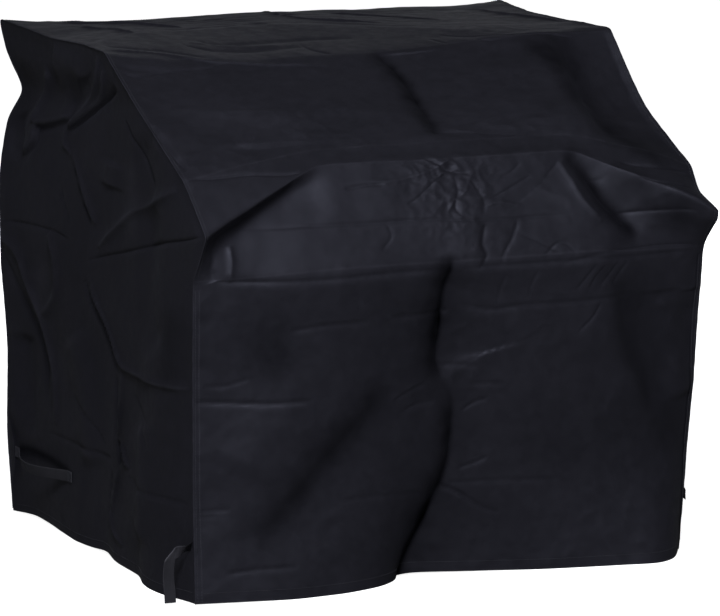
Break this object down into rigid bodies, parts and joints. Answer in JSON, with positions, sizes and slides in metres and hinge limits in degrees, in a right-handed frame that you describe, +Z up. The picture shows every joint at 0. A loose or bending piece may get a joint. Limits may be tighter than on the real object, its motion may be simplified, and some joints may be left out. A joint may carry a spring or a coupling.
{
  "type": "grill cover",
  "caption": "Fitted fabric cover for a barbecue grill, with a sloped hood, a tented ledge over the lid handle, turned hems and webbing straps.",
  "frame": {"origin": "centre of the cover's outline on the hem plane, with the tented ledge, the left front strap and the right rear loop included", "axes": "+X to the right seen from the front, the front faces -Y, +Z up"},
  "size_m": [1.3096, 1.087, 1.1],
  "materials": {
    "cover_fabric": "satin black coated polyester oxford",
    "hem_lining": "smooth coated underside of the cover fabric",
    "binding_tape": "woven polyester binding tape",
    "webbing": "ribbed polyester webbing",
    "hook_tape": "hook half of hook-and-loop tape",
    "loop_tape": "loop half of hook-and-loop tape"
  },
  "bodies": {
    "cover": {"top_panel": "cover_fabric", "hood_slope_panel": "cover_fabric", "handle_tent_upper_panel": "cover_fabric", "handle_tent_lower_panel": "cover_fabric", "front_apron_panel": "cover_fabric", "back_panel": "cover_fabric", "left_side_panel": "cover_fabric", "right_side_panel": "cover_fabric", "front_hem": "hem_lining", "back_hem": "hem_lining", "left_hem": "hem_lining", "right_hem": "hem_lining", "left_seam_tape": "binding_tape", "right_seam_tape": "binding_tape", "back_top_seam_tape": "binding_tape", "front_left_felled_seam": "cover_fabric", "front_right_felled_seam": "cover_fabric", "rear_left_loop_ends": "webbing", "rear_right_loop_ends": "webbing"},
    "left_rear_loop": {"rear_left_loop": "webbing"},
    "right_rear_loop": {"rear_right_loop": "webbing"},
    "left_front_strap": {"front_left_strap_base": "webbing"},
    "right_front_strap": {"front_right_strap_base": "webbing"},
    "left_front_tail": {"front_left_strap_tail": "webbing", "front_left_hook_patch": "hook_tape", "front_left_loop_patch": "loop_tape"},
    "right_front_tail": {"front_right_strap_tail": "webbing", "front_right_hook_patch": "hook_tape", "front_right_loop_patch": "loop_tape"}
  },
  "joints": [
    {"name": "left_rear_loop_flip", "type": "hinge", "parent": "cover", "child": "left_rear_loop", "pos_m": [-0.59993, 0.3655, 0.14], "axis": [0, 1, 0], "range_deg": [-80, 80]},
    {"name": "right_rear_loop_flip", "type": "hinge", "parent": "cover", "child": "right_rear_loop", "pos_m": [0.63428, 0.3655, 0.14], "axis": [0, -1, 0], "range_deg": [-80, 80]},
    {"name": "left_front_strap_swing", "type": "hinge", "parent": "cover", "child": "left_front_strap", "pos_m": [-0.58883, -0.4845, 0.118], "axis": [0, 0, 1], "range_deg": [-45, 105]},
    {"name": "right_front_strap_swing", "type": "hinge", "parent": "cover", "child": "right_front_strap", "pos_m": [0.62318, -0.4405, 0.118], "axis": [0, 0, -1], "range_deg": [0, 170]},
    {"name": "left_front_tail_lift", "type": "hinge", "parent": "left_front_strap", "child": "left_front_tail", "pos_m": [-0.64233, -0.4865, 0.118], "axis": [0, 1, 0], "range_deg": [-12, 100]},
    {"name": "right_front_tail_lift", "type": "hinge", "parent": "right_front_strap", "child": "right_front_tail", "pos_m": [0.62518, -0.387, 0.118], "axis": [1, 0, 0], "range_deg": [-30, 100]}
  ]
}
